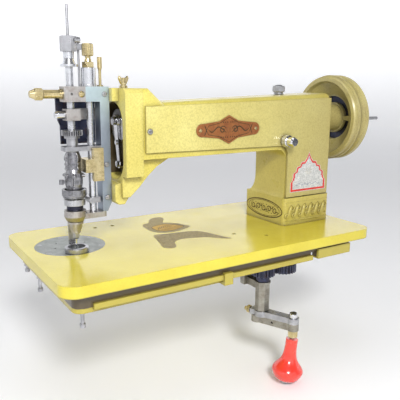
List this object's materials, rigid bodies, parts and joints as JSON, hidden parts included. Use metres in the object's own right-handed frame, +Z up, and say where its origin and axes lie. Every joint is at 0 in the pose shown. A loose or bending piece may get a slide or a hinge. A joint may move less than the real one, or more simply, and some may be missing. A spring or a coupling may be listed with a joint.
{
  "type": "sewing machine",
  "caption": "Chain-stitch embroidery sewing machine head with flat bed, arm, open needle-bar head, handwheel and a hand crank under the bed that steers the feed.",
  "frame": {"origin": "where the needle axis meets the top of the needle plate, flush with the bed", "axes": "+X along the arm to the handwheel, +Y to the back of the bed, +Z up along the needle bar"},
  "size_m": [0.489, 0.2469, 0.4372],
  "materials": {
    "yellow_enamel": "glossy ochre-yellow enamel over cast iron",
    "wheel_enamel": "ochre enamel, rubbed on the rim",
    "steel": "machined steel",
    "blue_steel": "ground steel with a blue-grey cast",
    "warm_steel": "milled steel, slightly brown",
    "dark_steel": "blackened oily steel",
    "chrome": "polished",
    "brass": "turned brass",
    "copper": "copper-coloured plate with dark ornament",
    "red_plastic": "moulded, glossy"
  },
  "bodies": {
    "stand": {"bed": "yellow_enamel", "rest_pins": "steel", "needle_plate": "steel", "plate_screws": "steel", "arm_casting": "yellow_enamel", "cover_plate": "yellow_enamel", "badge": "copper", "brass_fasteners": "brass", "head_casting": "yellow_enamel", "bushings": "brass", "head_frame": "blue_steel", "steel_screws": "steel", "top_block": "warm_steel", "side_plate": "dark_steel", "cross_plate": "steel", "presser_guide": "brass", "lower_bracket": "warm_steel", "spring_case": "steel", "case_nut": "brass", "guide_rod": "steel", "lift_pin": "brass", "side_stud": "brass", "crank_bracket": "steel"},
    "drive": {"main_shaft": "steel", "crank_disc": "steel", "handwheel": "wheel_enamel", "handwheel_peg": "steel", "hub_nut": "dark_steel"},
    "rod": {"connecting_rod": "chrome"},
    "upright": {"upright_shaft": "steel"},
    "looper_drive": {"lower_shaft": "steel"},
    "needle_group": {"needle_bar": "steel", "thread_tube": "steel", "bar_collar": "steel", "needle_driver": "dark_steel", "driver_bolt": "chrome", "needle_clamp": "steel", "needle": "chrome"},
    "feed_group": {"feed_tube": "dark_steel", "feed_gear": "steel", "claw_carrier": "warm_steel", "ring_flange": "steel", "nipple": "chrome"},
    "presser_group": {"presser_bar": "chrome", "presser_bracket": "steel", "ring_foot": "steel"},
    "crank_group": {"crank_shaft": "dark_steel", "crank_gear": "dark_steel", "crank_arm": "steel", "crank_link": "steel", "crank_bolt": "chrome", "crank_nut": "brass"},
    "idler": {"idler_gear": "dark_steel"},
    "knob": {"handle_knob": "red_plastic"},
    "thumb": {"thumb_screw": "brass"},
    "adjuster": {"adjusting_screw": "brass"},
    "tension_nut": {"side_nut": "brass"},
    "wing": {"wing_screw": "brass"},
    "oiler": {"oil_cap": "steel"},
    "cover_grip": {"cover_knob": "chrome"}
  },
  "joints": [
    {"name": "handwheel_turn", "type": "hinge", "parent": "stand", "child": "drive", "pos_m": [0.2, 0, 0.139], "axis": [1, 0, 0], "continuous": true},
    {"name": "rod_turn", "type": "hinge", "parent": "drive", "child": "rod", "pos_m": [0.051, 0, 0.144], "axis": [1, 0, 0], "continuous": true},
    {"name": "upright_turn", "type": "hinge", "parent": "stand", "child": "upright", "pos_m": [0.3137, 0, 0.06], "axis": [0, 0, 1], "continuous": true},
    {"name": "looper_turn", "type": "hinge", "parent": "stand", "child": "looper_drive", "pos_m": [0.1, 0, -0.024], "axis": [1, 0, 0], "continuous": true},
    {"name": "needle_stroke", "type": "slide", "parent": "stand", "child": "needle_group", "axis": [0, 0, 1], "range_m": [-0.01, 0]},
    {"name": "feed_turn", "type": "hinge", "parent": "stand", "child": "feed_group", "pos_m": [0, 0, 0.06], "axis": [0, 0, 1], "continuous": true},
    {"name": "presser_lift", "type": "slide", "parent": "stand", "child": "presser_group", "axis": [0, 0, 1], "range_m": [0, 0.006], "stiffness_N_per_m": 400, "springref_m": -0.004},
    {"name": "crank_turn", "type": "hinge", "parent": "stand", "child": "crank_group", "pos_m": [0.209, -0.075, -0.06], "axis": [0, 0, 1], "continuous": true},
    {"name": "idler_turn", "type": "hinge", "parent": "stand", "child": "idler", "pos_m": [0.2398, -0.075, -0.039], "axis": [0, 0, 1], "continuous": true},
    {"name": "knob_spin", "type": "hinge", "parent": "crank_group", "child": "knob", "pos_m": [0.22601, -0.11395, -0.1145], "axis": [0.1392, 0, 0.9903], "continuous": true},
    {"name": "thumb_screw_turn", "type": "hinge", "parent": "crank_group", "child": "thumb", "pos_m": [0.209, -0.075, -0.0935], "axis": [-0.4003, 0.9164, 0], "range_deg": [-180, 180]},
    {"name": "presser_screw_turn", "type": "hinge", "parent": "stand", "child": "adjuster", "pos_m": [0.021, 0, 0.21], "axis": [0, 0, 1], "range_deg": [-180, 180]},
    {"name": "tension_nut_turn", "type": "hinge", "parent": "stand", "child": "tension_nut", "pos_m": [-0.035, 0, 0.1735], "axis": [-1, 0, 0], "range_deg": [-180, 180]},
    {"name": "wing_screw_turn", "type": "hinge", "parent": "stand", "child": "wing", "pos_m": [0.0615, 0, 0.18], "axis": [0, 0, 1], "range_deg": [-180, 180]},
    {"name": "oil_cap_turn", "type": "hinge", "parent": "stand", "child": "oiler", "pos_m": [0.2877, 0, 0.172], "axis": [0, 0, 1], "range_deg": [-180, 180]},
    {"name": "cover_knob_turn", "type": "hinge", "parent": "stand", "child": "cover_grip", "pos_m": [0.2707, -0.036, 0.1138], "axis": [0, -1, 0], "range_deg": [-180, 180]}
  ],
  "couplings": [
    {"joint": "rod_turn", "follows": "handwheel_turn", "ratio": -1},
    {"joint": "upright_turn", "follows": "handwheel_turn", "ratio": -1},
    {"joint": "looper_turn", "follows": "handwheel_turn", "ratio": -1},
    {"joint": "feed_turn", "follows": "crank_turn", "ratio": 1},
    {"joint": "idler_turn", "follows": "crank_turn", "ratio": -0.83333}
  ]
}
